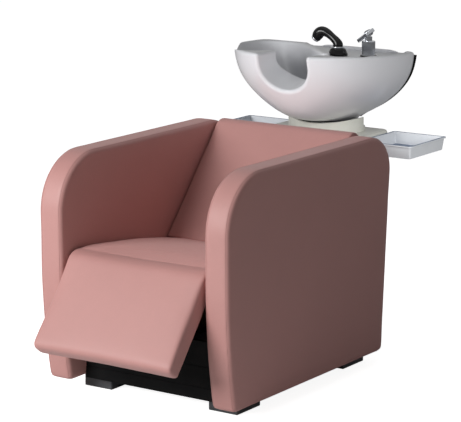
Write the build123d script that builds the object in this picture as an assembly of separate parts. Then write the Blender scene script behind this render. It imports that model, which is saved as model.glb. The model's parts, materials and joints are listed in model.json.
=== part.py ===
from build123d import *
import os
from math import atan2, cos, hypot, radians, sin, sqrt, tan

# Hair washing bed: chair, column and tilting basin.
# Lengths in mm. The model is laid out with x = 0 in the middle plane, y = 0 at the
# front line of the arms at their foot, +y towards the basin, and z = 0 on the floor.
# The finished pieces are moved along y so that the origin is under the middle.

# whole unit
overall_width = 700.0
ground_clearance = 36.0
part_gap = 0.3
slide_gap = 0.06
halfway = 0.5
full_turn = 360.0
shaft_fit = 0.02

# arm panels
arm_thickness = 87.0
arm_top_height = 750.0
arm_front_bulge = 25.0
arm_foot_set_back = 13.0
arm_bulge_height = 400.0
arm_belly_height = 215.0
arm_belly_bulge = 18.0
arm_top_front_radius = 180.0
arm_top_rear_radius = 115.0
arm_foot_radius = 16.0
arm_rear_foot = 860.0
arm_rear_lean = 4.1
arm_edge_radius = 14.0
arm_core_thickness = 18.0
arm_core_inset = 42.0

# leg rest
hinge_y = 43.0
hinge_z = 397.0
leg_rest_lean = 36.6
leg_rest_thickness = 58.0
leg_rest_roll_radius = 60.0
leg_rest_length = 296.0
leg_rest_side_gap = 5.0
leg_rest_front_radius = 20.0
leg_rest_back_radius = 9.0
leg_rest_crown = 3.0
leg_rest_side_radius = 9.0
leg_rest_board_thickness = 15.0
leg_rest_board_inset = 12.0
leg_rest_board_top = 30.0
hinge_shaft_radius = 10.0
hinge_tube_wall = 4.0
hinge_tube_end_gap = 3.0
hinge_arm_width = 42.0
hinge_arm_thickness = 5.0
hinge_arm_length = 210.0
hinge_arm_spacing = 330.0
hinge_bracket_thickness = 3.0
hinge_bracket_eye = 22.0
hinge_bracket_foot_depth = 110.0
hinge_bracket_foot_height = 84.0

# seat
seat_front = 71.0
seat_nose_radius = 5.0
seat_nose_share = 0.25
seat_top_front = 457.0
crease_y = 504.0
crease_z = 404.0
seat_arc_rise = 7.0
seat_rear = 612.0
seat_front_thickness = 97.0
seat_pitch = 7.4
seat_crown = 6.0
seat_roll_gap = 1.0
seat_board_thickness = 15.0
seat_board_front_inset = 10.0

# back
back_recline = 40.7
back_length = 443.0
back_thickness = 85.0
back_crown = 7.0
back_board_thickness = 15.0
back_board_start = 62.0
back_board_end_inset = 14.0
rear_panel_thickness = 15.0
rear_panel_bottom = 86.0
rear_panel_top = 668.0
rear_panel_inset = 8.0

# plinth and base
plinth_front = 88.5
plinth_height = 182.0
plinth_thickness = 18.0
plinth_groove = 2.0
plinth_groove_low = 37.0
plinth_groove_high = 103.0
side_board_thickness = 18.0
side_board_rear_inset = 26.0
foot_width = 105.0
foot_length = 124.0
foot_inset = 61.5
front_foot_y = 115.0
rear_foot_y = 715.0
foot_chamfer = 2.0
rail_size = 40.0
rail_wall = 2.5
rail_side_room = 67.0
cross_rail_front = 190.0
cross_rail_rear = 770.0
link_rail_x = 78.0
link_rail_end = 1122.0
column_foot_width = 70.0
column_foot_y = 990.0

# column
post_width = 120.0
post_depth = 56.0
post_wall = 3.0
post_front = 1062.0
head_plate_z = 652.0
head_plate_thickness = 8.0
head_plate_front = 988.0
head_plate_rear = 1126.0
waste_slot_width = 74.0
waste_slot_depth = 60.0

# tilt of the basin
tilt_y = 1065.0
tilt_z = 705.0
tilt_shaft_radius = 10.0
tilt_bearing_x = 100.0
tilt_bearing_thickness = 8.0
tilt_bearing_depth = 50.0
tilt_eye = 20.0
cradle_lug_x = 84.0
cradle_lug_thickness = 6.0
cradle_lug_depth = 36.0
cradle_plate_thickness = 6.0
cradle_plate_front = 987.0
cradle_plate_rear = 1122.0
cradle_plate_width = 176.0
cradle_plate_inset = 12.0

# covers
shoulder_half_width = 190.0
shoulder_front = 925.0
shoulder_rear = 1158.0
shoulder_top = 707.0
shoulder_side_height = 62.0
shoulder_taper_height = 55.0
shoulder_corner = 24.0
shoulder_top_radius = 9.0
cover_wall = 4.0
pedestal_half_width = 146.0
pedestal_rear = 1131.0
pedestal_corner = 20.0
pedestal_bottom = 8.0
pedestal_overlap = 14.0
pedestal_notch_half = 104.0
pedestal_notch_top = 84.0
door_half_width = 104.0
door_bottom = 110.0
door_top = 540.0
door_lap = 12.0
door_thickness = 3.0
door_corner = 14.0
saddle_half_width = 138.0
saddle_reach = 97.0
saddle_end_top = 754.0
saddle_front_top = 736.0
saddle_rear_top = 719.0
saddle_wall = 4.0
saddle_rear_start = 12.0

# basin
bowl_half_width = 306.0
bowl_widest_y = 1103.0
bowl_front_reach = 385.0
bowl_rear = 1142.0
bowl_base_z = 742.0
bowl_rim_z = 977.0
bowl_height = bowl_rim_z - bowl_base_z
rim_slope = 1.95
rim_radius = 10.0
deck_drop = 10.0
deck_edge_radius = 3.0
cavity_y = 1010.0
cavity_floor_radius = 42.0
drain_x = -50.0
drain_y = 1005.0
drain_floor_z = 764.0
drain_radius = 17.0
wall_thickness = 13.0
back_panel_thickness = 5.0
back_panel_drop = 13.0
back_panel_inset = 9.0

neck_radius = 84.0
neck_x = 26.0
neck_lip_y = 880.0
neck_lip_z = 900.0
neck_fall = 14.0
neck_run_out = 10.0

# pieces of the waste
drain_thickness = drain_floor_z - bowl_base_z
strainer_radius = 30.0
strainer_thickness = 3.0
strainer_hole = 3.5
strainer_hole_circle = 10.0
strainer_hole_count = 6
strainer_sleeve_wall = 2.5
strainer_sleeve_length = 34.0
tail_wall = 2.0
tail_length = 92.0
tail_nut_height = 16.0
tail_nut_wall = 5.0

# hand shower
shower_x = 99.5
shower_y = 972.5
shower_base_radius = 32.0
shower_base_height = 25.0
shower_top_radius = 17.0
shower_socket_radius = 10.0
shower_socket_depth = 17.0
shower_ring_height = 5.0
shower_ring_edge_share = 1 / 3
shower_ring_radius = 19.0
shower_reach = 74.0
shower_rise = 48.0
shower_foot_radius = 16.0
shower_collar_height = 2.0
shower_face_radius = 14.0
shower_face_height = 8.0
shower_face_round = 2.0
shower_skirt_share = 0.3

# mixer
mixer_x = 190.0
mixer_y = 1014.0
mixer_pad_radius = 27.0
mixer_pad_height = 4.0
mixer_radius = 22.0
mixer_flat = 34.0
mixer_height = 46.0
mixer_edge_radius = 2.0
mixer_collar_radius = 12.0
mixer_collar_height = 14.0
mixer_stem_radius = 6.0
mixer_stem_length = 20.0
lever_radius = 21.0
lever_tip_radius = 10.0
lever_reach = 36.0
lever_rim = 6.5
lever_tip_rim = 5.0
lever_thickness = 12.0
lever_edge_radius = 2.2
lever_droop = 38.0
lever_barrel_radius = 11.0
lever_barrel_length = 34.0
lever_ear_thickness = 8.0
lever_ear_width = 12.0
lever_pin_radius = 3.0
lever_turn_rest = 17.0

# trays
tray_width = 200.0
tray_length = 235.0
tray_front = 951.0
tray_top = 697.0
tray_depth = 43.0
tray_wall = 4.0
tray_draft = 5.0
tray_lip = 5.0
tray_lip_thickness = 4.0
tray_corner = 10.0
tray_bracket_thickness = 3.0
tray_bracket_width = 60.0
tray_bracket_reach = 130.0

# places that follow from these sizes
deck_z = bowl_rim_z - deck_drop
ring_z = deck_z + shower_base_height
collar_z = deck_z + mixer_pad_height + mixer_height
pivot_z = collar_z + mixer_collar_height + lever_barrel_radius + part_gap
half_width = overall_width / 2
arm_inner = half_width - arm_thickness
rail_x = arm_inner - rail_side_room
pad_half = arm_inner - part_gap
leg_half = arm_inner - leg_rest_side_gap
bracket_outer = arm_inner - part_gap
side_board_outer = bracket_outer - hinge_bracket_thickness
tube_radius = hinge_shaft_radius + hinge_tube_wall
back_dir = (sin(radians(back_recline)), cos(radians(back_recline)))
back_normal = (cos(radians(back_recline)), -sin(radians(back_recline)))
SIDES = {"left": -1, "right": 1}
OVAL_ANGLES = (0, -22.5, -45, -67.5, -90, -112.5, -135, -157.5, -180)

# Swell of a cushion across its width: place, share of the crown.
CROWN_SHARES = ((-1.0, 0.1), (-0.55, 0.85), (0.0, 1.0), (0.55, 0.85), (1.0, 0.1))
# Levels of the basin wall: height share, half width share, front reach share.
BOWL_SHARES = (
    (0.0, 0.31, 0.306),
    (0.065, 0.386, 0.51),
    (0.18, 0.549, 0.644),
    (0.44, 0.81, 0.805),
    (0.67, 0.935, 0.906),
    (0.89, 0.985, 0.962),
    (1.15, 1.0, 1.0),
)
# Levels of the cavity: height share between waste and rim, share of the way from floor to rim edge.
CAVITY_SHARES = ((0.0, 0.0), (0.06, 0.2), (0.22, 0.45), (0.5, 0.74), (0.78, 0.92), (1.25, 1.03))
# Cavity edge at the rim, as shares of half width and of front reach from the middle of the
# cavity, running along the ridge, round the left side and back round the neck recess.
CAVITY_EDGE_SHARES = (
    (0.345, -0.35),
    (0.25, -0.27),
    (0.09, -0.14),
    (-0.08, -0.01),
    (-0.35, 0.185),
    (-0.6, 0.27),
    (-0.82, 0.22),
    (-0.90, 0.04),
    (-0.86, -0.18),
    (-0.72, -0.40),
    (-0.55, -0.535),
    (-0.40, -0.56),
    (-0.28, -0.49),
    (-0.17, -0.405),
    (-0.02, -0.36),
    (0.14, -0.36),
    (0.27, -0.385),
    (0.37, -0.43),
    (0.43, -0.45),
    (0.45, -0.41),
)
# Edge of the tap deck, in the same shares.
DECK_EDGE_SHARES = (
    (0.455, -0.41),
    (0.33, -0.235),
    (0.01, 0.02),
    (-0.26, 0.215),
    (-0.40, 0.305),
    (0.0, 0.31),
    (0.6, 0.31),
    (0.90, 0.295),
    (0.935, 0.21),
    (0.915, 0.0),
    (0.83, -0.22),
    (0.66, -0.42),
)
# Room behind the deck, in the same shares: under the deck and at its foot.
HOLLOW_TOP_SHARES = (
    (-0.49, 0.353),
    (-0.04, 0.031),
    (0.31, -0.221),
    (0.523, -0.442),
    (0.745, -0.299),
    (0.908, 0.0),
    (0.928, 0.195),
    (0.804, 0.353),
)
HOLLOW_LOW_SHARES = (
    (-0.278, 0.353),
    (-0.065, 0.182),
    (0.092, -0.026),
    (0.114, -0.195),
    (0.261, -0.195),
    (0.376, -0.026),
    (0.425, 0.182),
    (0.32, 0.353),
)
# Middle line of the shower handle: reach share, rise share.
HANDLE_PATH_SHARES = ((0.0, 0.0), (0.26, 0.5), (0.64, 0.86), (0.95, 0.8), (1.13, 0.45))
# Thickness of the shower handle: place along its length, share of the foot radius.
HANDLE_RADIUS_SHARES = (
    (0.0, 1.0),
    (0.08, 0.96),
    (0.25, 0.82),
    (0.5, 0.86),
    (0.75, 1.1),
    (0.92, 1.12),
    (1.0, 1.0),
)


def side_face(*edges):
    """Closed outline in the y-z plane as a face that looks along +x."""
    return make_face(Wire(list(edges)))


def yz(y, z, x=0.0):
    return Vector(x, y, z)


def thick(face, start, end):
    """Solid between two x places from an outline in the y-z plane."""
    return extrude(Pos(start, 0, 0) * face, amount=end - start, dir=(1, 0, 0))


def box(x0, x1, y0, y1, z0, z1):
    """Block between three pairs of coordinates."""
    corner = Pos(x0, y0, z0)
    return corner * Box(x1 - x0, y1 - y0, z1 - z0, align=(Align.MIN, Align.MIN, Align.MIN))


def rod(radius, x0, x1, y, z):
    """Round bar along x."""
    bar = Cylinder(radius, x1 - x0, align=(Align.CENTER, Align.CENTER, Align.MIN))
    return Pos(x0, y, z) * Rot(0, 90, 0) * bar


def upright(radius, x, y, z0, z1):
    """Round bar along z."""
    bar = Cylinder(radius, z1 - z0, align=(Align.CENTER, Align.CENTER, Align.MIN))
    return Pos(x, y, z0) * bar


def mirrored(solid):
    return mirror(solid, about=Plane.YZ)


def on_side(solid, side):
    return solid if side == "right" else mirrored(solid)


def tube_box(x0, x1, y0, y1, z0, z1, wall):
    """Square tube with welded end caps."""
    inner = box(x0 + wall, x1 - wall, y0 + wall, y1 - wall, z0 + wall, z1 - wall)
    return box(x0, x1, y0, y1, z0, z1) - inner


# Arm panels

def arm_outline(inset, foot_inset):
    """Side outline of an arm, drawn in by an inset, open foot line at its own inset."""
    top = arm_top_height - inset
    foot = ground_clearance + foot_inset
    front = inset - arm_front_bulge
    front_radius = arm_top_front_radius - inset
    rear_radius = arm_top_rear_radius - inset
    lean = tan(radians(arm_rear_lean))
    rear_top = arm_rear_foot - inset + (top - ground_clearance) * lean
    rear_foot = arm_rear_foot - inset + foot_inset * lean
    bulge_z = ground_clearance + arm_bulge_height
    corner = hypot(lean, 1.0) + lean
    rear_end = rear_radius * corner
    lean_dir = (lean / hypot(lean, 1.0), 1 / hypot(lean, 1.0))
    low = (rear_top - rear_end * lean_dir[0], top - rear_end * lean_dir[1])
    high = (rear_top - rear_end, top)
    mid = rear_radius / sqrt(2)
    centre = (high[0], top - rear_radius)
    belly_z = ground_clearance + arm_belly_height
    front_foot = inset + arm_foot_set_back
    front_centre = (front + front_radius, top - front_radius)
    front_mid = front_radius / sqrt(2)
    return side_face(
        ThreePointArc(yz(front_foot, foot), yz(inset - arm_belly_bulge, belly_z), yz(front, bulge_z)),
        Line(yz(front, bulge_z), yz(front, front_centre[1])),
        ThreePointArc(
            yz(front, front_centre[1]),
            yz(front_centre[0] - front_mid, front_centre[1] + front_mid),
            yz(front_centre[0], top),
        ),
        Line(yz(front_centre[0], top), yz(*high)),
        ThreePointArc(yz(*high), yz(centre[0] + mid, centre[1] + mid), yz(*low)),
        Line(yz(*low), yz(rear_foot, foot)),
        Line(yz(rear_foot, foot), yz(front_foot, foot)),
    )


def arm_core(side):
    face = arm_outline(arm_core_inset, 0.0)
    middle = arm_inner + arm_thickness / 2
    core = thick(face, middle - arm_core_thickness / 2, middle + arm_core_thickness / 2)
    return on_side(core, side)


def arm_pad(side):
    block = thick(arm_outline(0.0, 0.0), arm_inner, half_width)
    foot_edge = block.edges().filter_by(Axis.X).group_by(Axis.Z)[0].sort_by(Axis.Y)
    block = fillet([foot_edge[0], foot_edge[-1]], arm_foot_radius)
    outer = block.faces().sort_by(Axis.X)[-1]
    inner = block.faces().sort_by(Axis.X)[0]
    block = fillet(outer.edges() + inner.edges(), arm_edge_radius)
    return on_side(block, side) - arm_core(side)


# Leg rest, drawn hanging straight down from its hinge and then swung to its rest place

def swung(piece):
    return Pos(0, hinge_y, hinge_z) * Rot(-leg_rest_lean, 0, 0) * piece


def leg_pad_outline(bulge):
    """Side outline of the leg rest pad about the hinge line, face bulged by a crown."""
    roll = leg_rest_roll_radius
    front = -roll - bulge
    back = front + bulge + leg_rest_thickness
    end = -leg_rest_length
    round_off = leg_rest_front_radius
    heel = leg_rest_back_radius
    diagonal = 1 - 1 / sqrt(2)
    return Wire([
        ThreePointArc(yz(roll, 0), yz(0, roll + bulge), yz(-roll, 0)),
        ThreePointArc(yz(-roll, 0), yz(front, end / 2), yz(-roll, end + round_off)),
        ThreePointArc(
            yz(-roll, end + round_off),
            yz(-roll + round_off * diagonal, end + round_off * diagonal),
            yz(-roll + round_off, end),
        ),
        Line(yz(-roll + round_off, end), yz(back - heel, end)),
        ThreePointArc(
            yz(back - heel, end),
            yz(back - heel * diagonal, end + heel * diagonal),
            yz(back, end + heel),
        ),
        Line(yz(back, end + heel), yz(back, 0)),
        Line(yz(back, 0), yz(roll, 0)),
    ])


def crowned_loft(outline, half, crown):
    """Cushion body: the outline swells by its crown towards the middle."""
    rows = []
    for place, share in CROWN_SHARES:
        rows.append(Pos(place * half, 0, 0) * make_face(outline(share * crown)))
    return loft(rows)


def leg_rest_board_block(fit):
    """Room for the board in the back of the pad, or the board itself with its fit taken off."""
    back = leg_rest_thickness - leg_rest_roll_radius
    return box(
        -leg_half + leg_rest_board_inset + fit,
        leg_half - leg_rest_board_inset - fit,
        back - leg_rest_board_thickness,
        back,
        -leg_rest_length + leg_rest_board_inset + fit,
        -leg_rest_board_top - fit,
    )


def leg_rest_pad():
    pad = crowned_loft(leg_pad_outline, leg_half, leg_rest_crown)
    ends = [face for face in pad.faces().filter_by(GeomType.PLANE) if abs(face.normal_at().X) > 0.9]
    edges = [edge for face in ends for edge in face.edges() if edge.center().Y < 0]
    pad = fillet(edges, leg_rest_side_radius)
    pad -= leg_rest_board_block(0.0)
    pad -= rod(tube_radius, -leg_half, leg_half, 0, 0)
    return swung(pad)


def leg_rest_board():
    return swung(leg_rest_board_block(part_gap))


def leg_rest_hinge_frame():
    """Tube on the shaft with two flat bars that hold the board."""
    end = leg_half - hinge_tube_end_gap
    tube = rod(tube_radius, -end, end, 0, 0)
    back = leg_rest_thickness - leg_rest_roll_radius
    for sign in SIDES.values():
        middle = sign * hinge_arm_spacing / 2
        tube += box(
            middle - hinge_arm_width / 2,
            middle + hinge_arm_width / 2,
            back,
            back + hinge_arm_thickness,
            -hinge_arm_length,
            0,
        )
    tube -= rod(hinge_shaft_radius + slide_gap, -end, end, 0, 0)
    return swung(tube)


def leg_rest_shaft():
    return rod(hinge_shaft_radius, -bracket_outer, bracket_outer, hinge_y, hinge_z)


def leg_rest_bracket(side):
    """Side plate that carries the shaft in front of the seat box."""
    front = plinth_front + plinth_thickness + part_gap
    rear = front + hinge_bracket_foot_depth
    top = seat_underside(rear) - seat_board_thickness
    low = top - hinge_bracket_foot_height
    eye = hinge_bracket_eye
    face = make_face(Polyline(
        yz(hinge_y, hinge_z + eye),
        yz(hinge_y + eye, hinge_z),
        yz(front, top),
        yz(rear, top),
        yz(rear, low),
        yz(front, low),
        yz(hinge_y, hinge_z - eye),
        close=True,
    ))
    plate = thick(face, side_board_outer, bracket_outer)
    plate += rod(eye, side_board_outer, bracket_outer, hinge_y, hinge_z)
    plate -= rod(hinge_shaft_radius + shaft_fit, side_board_outer, bracket_outer, hinge_y, hinge_z)
    return on_side(plate, side)


# Seat

def seat_underside(y):
    """Height of the seat cushion's flat underside."""
    return seat_top_front - seat_front_thickness - (y - seat_front) * tan(radians(seat_pitch))


def seat_outline(bulge):
    """Side outline of the seat cushion; the top swells by the bulge."""
    roll = leg_rest_roll_radius + leg_rest_crown + seat_roll_gap
    nose_y = seat_front + seat_nose_radius
    rise = seat_top_front - seat_nose_radius - hinge_z
    top_mid = ((nose_y + crease_y) / 2, (seat_top_front + crease_z) / 2 + seat_arc_rise + bulge)
    slope = (seat_top_front - crease_z) / (crease_y - nose_y)
    rear_top = crease_z - (seat_rear - crease_y) * slope
    run = hypot(nose_y - hinge_y, rise)
    touch = (
        hinge_y + (nose_y - hinge_y) / run * roll,
        hinge_z + rise / run * roll,
    )
    roll_side = (hinge_y + roll, hinge_z)
    half_angle = atan2(touch[1] - hinge_z, touch[0] - hinge_y) / 2
    roll_mid = (hinge_y + roll * cos(half_angle), hinge_z + roll * sin(half_angle))
    front_low = (roll_side[0], seat_underside(roll_side[0]))
    rear_low = (seat_rear, seat_underside(seat_rear))
    nose_end = (nose_y, seat_top_front)
    nose = nose_mid(touch, nose_end, (touch[0] - seat_nose_radius, touch[1] + seat_nose_radius))
    return Wire([
        ThreePointArc(yz(nose_y, seat_top_front), yz(*top_mid), yz(crease_y, crease_z)),
        Line(yz(crease_y, crease_z), yz(seat_rear, rear_top)),
        Line(yz(seat_rear, rear_top), yz(*rear_low)),
        Line(yz(*rear_low), yz(*front_low)),
        Line(yz(*front_low), yz(*roll_side)),
        ThreePointArc(yz(*roll_side), yz(*roll_mid), yz(*touch)),
        ThreePointArc(yz(*touch), yz(*nose), yz(*nose_end)),
    ])


def nose_mid(start, end, outward):
    """Middle point of the rounded nose of the seat."""
    middle = ((start[0] + end[0]) / 2, (start[1] + end[1]) / 2)
    swell = seat_nose_share
    return (middle[0] + (outward[0] - middle[0]) * swell, middle[1] + (outward[1] - middle[1]) * swell)


def seat_cushion():
    return crowned_loft(seat_outline, pad_half, seat_crown)


def seat_board():
    front = hinge_y + leg_rest_roll_radius + seat_board_front_inset
    face = make_face(Polyline(
        yz(front, seat_underside(front)),
        yz(seat_rear, seat_underside(seat_rear)),
        yz(seat_rear, seat_underside(seat_rear) - seat_board_thickness),
        yz(front, seat_underside(front) - seat_board_thickness),
        close=True,
    ))
    return thick(face, -side_board_outer, side_board_outer)


# Back

def back_point(along, behind):
    """Point in the y-z plane from distances along the reclined face and behind it."""
    return (
        crease_y + along * back_dir[0] + behind * back_normal[0],
        crease_z + along * back_dir[1] + behind * back_normal[1],
    )


def seat_meeting(behind):
    """Distance along the back where a line behind its face meets the seat top."""
    slope = (seat_top_front - crease_z) / (crease_y - seat_front - seat_nose_radius)
    start = back_point(0, behind)
    gap = crease_z - (start[0] - crease_y) * slope - start[1]
    return gap / (back_dir[1] + slope * back_dir[0])


def back_outline(bulge):
    """Side outline of the back cushion, face swelled by the bulge, rolled top."""
    radius = back_thickness / 2
    rear_end = yz(*back_point(seat_meeting(back_thickness), back_thickness))
    return Wire([
        ThreePointArc(
            yz(*back_point(0, 0)),
            yz(*back_point(back_length / 2, -bulge)),
            yz(*back_point(back_length, 0)),
        ),
        ThreePointArc(
            yz(*back_point(back_length, 0)),
            yz(*back_point(back_length + radius, radius)),
            yz(*back_point(back_length, back_thickness)),
        ),
        Line(yz(*back_point(back_length, back_thickness)), rear_end),
        Line(rear_end, yz(*back_point(0, 0))),
    ])


def back_cushion():
    return crowned_loft(back_outline, pad_half, back_crown)


def back_board():
    rear = back_thickness + back_board_thickness
    end = back_length - back_board_end_inset
    face = make_face(Polyline(
        yz(*back_point(back_board_start, back_thickness)),
        yz(*back_point(end, back_thickness)),
        yz(*back_point(end, rear)),
        yz(*back_point(back_board_start, rear)),
        close=True,
    ))
    return thick(face, -side_board_outer, side_board_outer)


def rear_line(z, inset):
    """Rear line of the chair at a height, set in by a distance."""
    return arm_rear_foot - inset + (z - ground_clearance) * tan(radians(arm_rear_lean))


def rear_panel():
    inner = rear_panel_inset + rear_panel_thickness
    face = make_face(Polyline(
        yz(rear_line(rear_panel_bottom, inner), rear_panel_bottom),
        yz(rear_line(rear_panel_bottom, rear_panel_inset), rear_panel_bottom),
        yz(rear_line(rear_panel_top, rear_panel_inset), rear_panel_top),
        yz(rear_line(rear_panel_top, inner), rear_panel_top),
        close=True,
    ))
    return thick(face, -pad_half, pad_half)


# Seat box and base

def side_board(side):
    """Board that carries the seat board, the back board and the rear panel."""
    rear = back_thickness + back_board_thickness
    front = plinth_front + plinth_thickness
    seat_end = back_point(back_board_start, rear)
    back_end = back_point(back_length - back_board_end_inset, rear)
    top = back_end[1] - side_board_rear_inset
    top_front = back_end[0] - side_board_rear_inset * tan(radians(back_recline))
    inner = rear_panel_inset + rear_panel_thickness
    front_top = seat_underside(front) - seat_board_thickness
    meet = seat_underside(seat_rear) - seat_board_thickness
    face = make_face(Polyline(
        yz(front, ground_clearance),
        yz(rear_line(ground_clearance, inner), ground_clearance),
        yz(rear_line(top, inner), top),
        yz(top_front, top),
        yz(*seat_end),
        yz(seat_rear, meet),
        yz(front, front_top),
        close=True,
    ))
    board = thick(face, side_board_outer - side_board_thickness, side_board_outer)
    return on_side(board, side)


def plinth_front_panel():
    top = ground_clearance + plinth_height
    panel = box(-pad_half, pad_half, plinth_front, plinth_front + plinth_thickness, ground_clearance, top)
    for height in (plinth_groove_low, plinth_groove_high):
        z = ground_clearance + height
        panel -= box(-pad_half, pad_half, 0, plinth_front + plinth_groove, z, z + plinth_groove)
    return panel


def foot_block(x0, width, y0):
    block = box(x0, x0 + width, y0, y0 + foot_length, 0, ground_clearance)
    return chamfer(block.edges().filter_by(Axis.Z) + block.faces().sort_by(Axis.Z)[0].edges(), foot_chamfer)


def foot(side, y0):
    return on_side(foot_block(half_width - foot_inset - foot_width, foot_width, y0), side)


def column_foot(side):
    return on_side(foot_block(link_rail_x - column_foot_width / 2, column_foot_width, column_foot_y), side)


def rail(x_middle, y0, y1):
    half = rail_size / 2
    low = ground_clearance
    return tube_box(x_middle - half, x_middle + half, y0, y1, low, low + rail_size, rail_wall)


def cross_rail(x_end, y_middle):
    half = rail_size / 2
    low = ground_clearance
    return tube_box(-x_end, x_end, y_middle - half, y_middle + half, low, low + rail_size, rail_wall)


def base_frame():
    """Welded rails: two long ones, two across and two that reach back to the column."""
    front = plinth_front + plinth_thickness
    long_end = rear_foot_y + foot_length
    frame = cross_rail(rail_x - rail_size / 2, cross_rail_front)
    frame += cross_rail(rail_x - rail_size / 2, cross_rail_rear)
    for sign in SIDES.values():
        frame += rail(sign * rail_x, front, long_end)
        frame += rail(sign * link_rail_x, cross_rail_rear + rail_size / 2, link_rail_end)
    return frame


# Column

def column_post():
    """Box post with its head plate; the head plate is open round the waste."""
    low = ground_clearance + rail_size
    half = post_width / 2
    post = box(-half, half, post_front, post_front + post_depth, low, head_plate_z)
    post -= box(
        -half + post_wall,
        half - post_wall,
        post_front + post_wall,
        post_front + post_depth - post_wall,
        low + post_wall,
        head_plate_z - post_wall,
    )
    top = head_plate_z + head_plate_thickness
    plate_half = shoulder_half_width - cover_wall - part_gap
    plate = box(-plate_half, plate_half, head_plate_front, head_plate_rear, head_plate_z, top)
    slot_half = waste_slot_width / 2
    slot_end = head_plate_front + waste_slot_depth
    plate -= box(drain_x - slot_half, drain_x + slot_half, head_plate_front, slot_end, head_plate_z, top)
    return post + plate


def eye_plate(eye, depth, foot_z):
    """Upright plate outline with a round eye about the tilt line."""
    face = make_face(Polyline(
        yz(tilt_y - depth / 2, foot_z),
        yz(tilt_y + depth / 2, foot_z),
        yz(tilt_y + eye, tilt_z),
        yz(tilt_y - eye, tilt_z),
        close=True,
    ))
    return face + Pos(0, tilt_y, tilt_z) * Rot(0, 90, 0) * Circle(eye)


def tilt_bearing(side):
    top = head_plate_z + head_plate_thickness
    half = tilt_bearing_thickness / 2
    outline = eye_plate(tilt_eye, tilt_bearing_depth, top)
    plate = thick(outline, tilt_bearing_x - half, tilt_bearing_x + half)
    plate -= rod(tilt_shaft_radius + shaft_fit, 0, half_width, tilt_y, tilt_z)
    return on_side(plate, side)


def tilt_shaft():
    end = tilt_bearing_x + tilt_bearing_thickness
    return rod(tilt_shaft_radius, -end, end, tilt_y, tilt_z)


def basin_cradle():
    """Bracket under the basin: two lugs on the tilt shaft and a plate round the waste."""
    top = bowl_base_z
    low = top - cradle_plate_thickness
    half = cradle_plate_width / 2
    bracket = box(-half, half, cradle_plate_front, cradle_plate_rear, low, top)
    bracket &= extrude(Pos(0, 0, low) * saddle_plan(cradle_plate_inset), amount=cradle_plate_thickness)
    bracket -= upright(drain_radius + tail_nut_wall + part_gap, drain_x, drain_y, low, top)
    for sign in SIDES.values():
        middle = sign * cradle_lug_x
        lug = thick(
            eye_plate(cradle_lug_depth / 2, cradle_lug_depth, low),
            middle - cradle_lug_thickness / 2,
            middle + cradle_lug_thickness / 2,
        )
        bracket += lug
    bracket -= rod(tilt_shaft_radius + slide_gap, -half_width, half_width, tilt_y, tilt_z)
    return bracket


# Covers

def rounded_slab(half, front, rear, corner):
    """Rectangle seen from above with rounded corners."""
    return Pos(0, (front + rear) / 2, 0) * RectangleRounded(half * 2, rear - front, corner)


def shoulder_block(inset):
    """Body of the shoulder cover, drawn in by the inset."""
    high = shoulder_top - inset
    waist = shoulder_top - shoulder_side_height
    low = waist - shoulder_taper_height
    corner = shoulder_corner - inset
    wide = rounded_slab(shoulder_half_width - inset, shoulder_front + inset, shoulder_rear - inset, corner)
    neck_half = pedestal_half_width + part_gap + cover_wall - inset
    neck_rear = pedestal_rear + part_gap + cover_wall - inset
    narrow = rounded_slab(neck_half, shoulder_front + inset, neck_rear, corner)
    upper = extrude(Pos(0, 0, waist) * wide, amount=high - waist)
    lower = loft([Pos(0, 0, low) * narrow, Pos(0, 0, waist) * wide])
    return upper + lower


def shoulder_cover():
    block = shoulder_block(0.0)
    rim = block.faces().sort_by(Axis.Z)[-1]
    block = fillet(rim.edges(), shoulder_top_radius)
    block -= shoulder_block(cover_wall)
    hole = extrude(Pos(0, 0, shoulder_top - cover_wall) * saddle_plan(saddle_wall), amount=cover_wall)
    return block - hole


def pedestal_cover():
    """Sheet cover round the post, open at the foot for the rails and at the rear for the door."""
    top = shoulder_top - shoulder_side_height - shoulder_taper_height + pedestal_overlap
    front = shoulder_front + cover_wall + part_gap
    outer = rounded_slab(pedestal_half_width, front, pedestal_rear, pedestal_corner)
    inner = rounded_slab(
        pedestal_half_width - door_thickness,
        front + door_thickness,
        pedestal_rear - door_thickness,
        pedestal_corner - door_thickness,
    )
    cover = extrude(Pos(0, 0, pedestal_bottom) * (outer - inner), amount=top - pedestal_bottom)
    notch = pedestal_notch_half
    cover -= box(-notch, notch, front, front + pedestal_corner, pedestal_bottom, pedestal_notch_top)
    opening = door_half_width
    cover -= box(-opening, opening, post_front + post_depth, pedestal_rear, door_bottom, door_top)
    return cover


def service_door():
    height = door_top - door_bottom + door_lap * 2
    face = RectangleRounded((door_half_width + door_lap) * 2, height, door_corner)
    middle = Pos(0, pedestal_rear, (door_top + door_bottom) / 2)
    return extrude(middle * Rot(90, 0, 0) * face, amount=door_thickness, dir=(0, 1, 0))


def saddle_plan(inset):
    """Oval plan of the saddle cover round the tilt line, drawn in by the inset."""
    return Pos(0, tilt_y, 0) * Ellipse(saddle_half_width - inset, saddle_reach - inset)


def saddle_cover():
    """Oval wall under the basin; its top edge dips to the front and is low at the rear."""
    height = saddle_end_top - shoulder_top
    plan = saddle_plan(0.0) - saddle_plan(saddle_wall)
    wall = extrude(Pos(0, 0, shoulder_top) * plan, amount=height + saddle_wall)
    dip = saddle_end_top - saddle_front_top
    crest = (saddle_reach ** 2 + dip ** 2) / (dip * 2)
    wall &= rod(crest, -half_width, half_width, tilt_y, saddle_end_top - crest)
    behind = tilt_y + saddle_rear_start
    wall -= box(-half_width, half_width, behind, tilt_y + saddle_reach, saddle_rear_top, saddle_end_top)
    return wall


# Basin

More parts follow.
